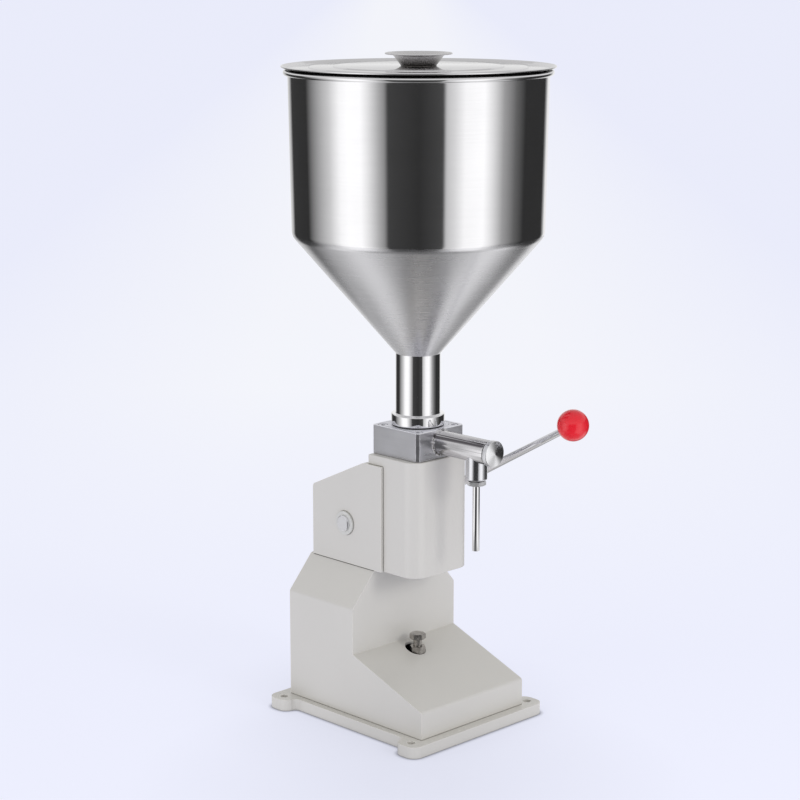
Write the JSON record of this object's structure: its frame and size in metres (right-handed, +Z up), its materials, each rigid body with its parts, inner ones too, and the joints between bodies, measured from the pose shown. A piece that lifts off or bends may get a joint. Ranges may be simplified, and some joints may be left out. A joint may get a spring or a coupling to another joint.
{
  "type": "manual paste filling machine",
  "caption": "Hand-lever paste filler: a lidded steel hopper over a piston pump in a painted stand, with a front spout and nozzle.",
  "frame": {"origin": "centre of the four mounting holes, on the underside of the base plate", "axes": "+Z up, the spout and nozzle to -Y, the lever on the +X side"},
  "size_m": [0.2974, 0.3374, 0.7502],
  "materials": {
    "painted_steel": "semi-gloss paint",
    "polished_steel": "polished stainless steel",
    "machined_steel": "machined stainless steel",
    "dark_steel": "zinc-plated steel",
    "bronze": "sintered bronze",
    "black_rubber": "black nitrile",
    "white_seal": "white sealing plastic",
    "red_plastic": "glossy red"
  },
  "bodies": {
    "root": {"base_plate": "painted_steel", "lower_casing": "painted_steel", "casing_screws": "dark_steel", "casing_nuts": "dark_steel", "stop_post": "dark_steel", "post_screw": "dark_steel", "rear_housing": "painted_steel", "housing_screws": "dark_steel", "left_bush": "white_seal", "right_bush": "white_seal", "column": "painted_steel", "cylinder": "machined_steel", "cylinder_seal": "white_seal", "rod_guide": "bronze", "valve_block": "machined_steel", "block_screws": "machined_steel", "inlet_seat": "white_seal", "inlet_spring": "machined_steel", "inlet_guide": "machined_steel", "spout_tube": "polished_steel", "spout_cap": "polished_steel", "cap_seal": "black_rubber", "outlet_body": "polished_steel", "outlet_spring": "machined_steel", "nozzle_seal": "black_rubber", "nozzle_nut": "polished_steel", "nozzle_tube": "polished_steel", "hopper_gasket": "black_rubber", "hopper_neck": "polished_steel", "hopper_cone": "polished_steel", "hopper": "polished_steel"},
    "lever": {"shaft": "machined_steel", "shaft_key": "dark_steel", "retaining_rings": "dark_steel", "crank_fork": "dark_steel", "crank_pins": "machined_steel", "lever_hub": "machined_steel", "hub_washer": "machined_steel", "hub_bolt": "machined_steel", "hub_set_screw": "dark_steel", "lever_rod": "polished_steel", "ball_knob": "red_plastic"},
    "piston": {"piston": "machined_steel", "piston_seals": "white_seal", "piston_screw": "machined_steel", "piston_rod": "machined_steel", "rod_nut": "dark_steel", "yoke": "dark_steel"},
    "stop_bolt": {"adjusting_bolt": "dark_steel"},
    "lock_nut": {"lock_nut": "dark_steel"},
    "lid": {"lid": "polished_steel", "lid_knob": "polished_steel", "knob_screw": "machined_steel"},
    "inlet_valve": {"inlet_ball": "machined_steel"},
    "outlet_valve": {"outlet_ball": "machined_steel"}
  },
  "joints": [
    {"name": "lever_swing", "type": "hinge", "parent": "root", "child": "lever", "pos_m": [0, 0.0475, 0.223], "axis": [1, 0, 0], "range_deg": [0, 54.67]},
    {"name": "piston_slide", "type": "slide", "parent": "root", "child": "piston", "axis": [0, 0, 1], "range_m": [-0.062, 0]},
    {"name": "stop_bolt_height", "type": "slide", "parent": "root", "child": "stop_bolt", "axis": [0, 0, 1], "range_m": [-0.006, 0.002]},
    {"name": "lock_nut_turn", "type": "hinge", "parent": "root", "child": "lock_nut", "pos_m": [0, -0.02, 0.074], "axis": [0, 0, 1], "range_deg": [0, 180]},
    {"name": "lid_lift", "type": "slide", "parent": "root", "child": "lid", "axis": [0, 0, 1], "range_m": [0, 0.15]},
    {"name": "inlet_valve_lift", "type": "slide", "parent": "root", "child": "inlet_valve", "axis": [0, 0, -1], "range_m": [0, 0.005], "stiffness_N_per_m": 300, "springref_m": -0.003, "deforming": ["inlet_spring"]},
    {"name": "outlet_valve_lift", "type": "slide", "parent": "root", "child": "outlet_valve", "axis": [0, 0, -1], "range_m": [0, 0.003], "stiffness_N_per_m": 150, "springref_m": -0.003, "deforming": ["outlet_spring"]}
  ],
  "couplings": [
    {"joint": "piston_slide", "follows": "lever_swing", "m_per_rad": -0.064968}
  ]
}
